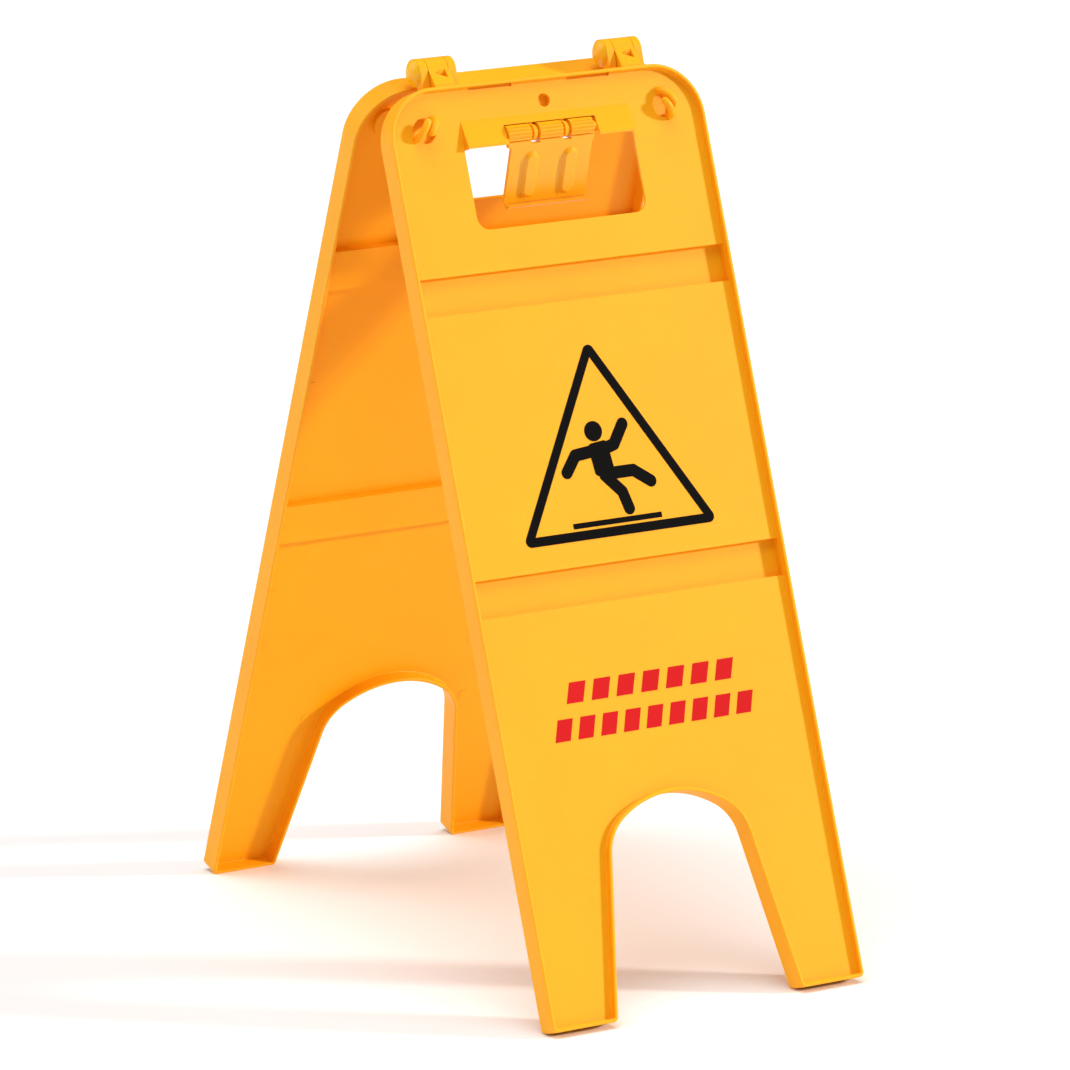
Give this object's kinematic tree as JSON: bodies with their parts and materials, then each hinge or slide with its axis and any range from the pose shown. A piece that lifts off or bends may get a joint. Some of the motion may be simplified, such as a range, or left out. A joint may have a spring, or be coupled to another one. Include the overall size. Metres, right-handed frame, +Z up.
{
  "type": "folding wet floor sign",
  "caption": "Folding A-frame floor sign of two arched plastic panels hinged at the top, with a carrying handle, a swinging handle flap and chain eyes.",
  "frame": {"origin": "centre of the sign's footprint on the floor, with the sign standing open", "axes": "+Z up, X across the sign along the hinge axis, -Y out of the front panel"},
  "size_m": [0.24, 0.4618, 0.5991],
  "materials": {
    "panel_plastic": "satin moulded polypropylene",
    "pin_plastic": "glossy moulded nylon, a little more lemon than the panels",
    "flap_plastic": "satin moulded polypropylene",
    "black_ink": "screen-printed ink",
    "red_ink": "screen-printed ink"
  },
  "bodies": {
    "front": {"front_panel": "panel_plastic", "hinge_pin_left": "pin_plastic", "hinge_pin_right": "pin_plastic", "front_pictogram": "black_ink", "front_dashes": "red_ink"},
    "rear": {"rear_panel": "panel_plastic", "rear_pictogram": "black_ink", "rear_dashes": "red_ink"},
    "flap": {"handle_flap": "flap_plastic"}
  },
  "joints": [
    {"name": "panel_fold", "type": "hinge", "parent": "front", "child": "rear", "pos_m": [0, 0, 0.5899], "axis": [1, 0, 0], "range_deg": [-40, 0]},
    {"name": "flap_swing", "type": "hinge", "parent": "front", "child": "flap", "pos_m": [0, -0.02891, 0.54849], "axis": [1, 0, 0], "range_deg": [-33, 37]}
  ]
}
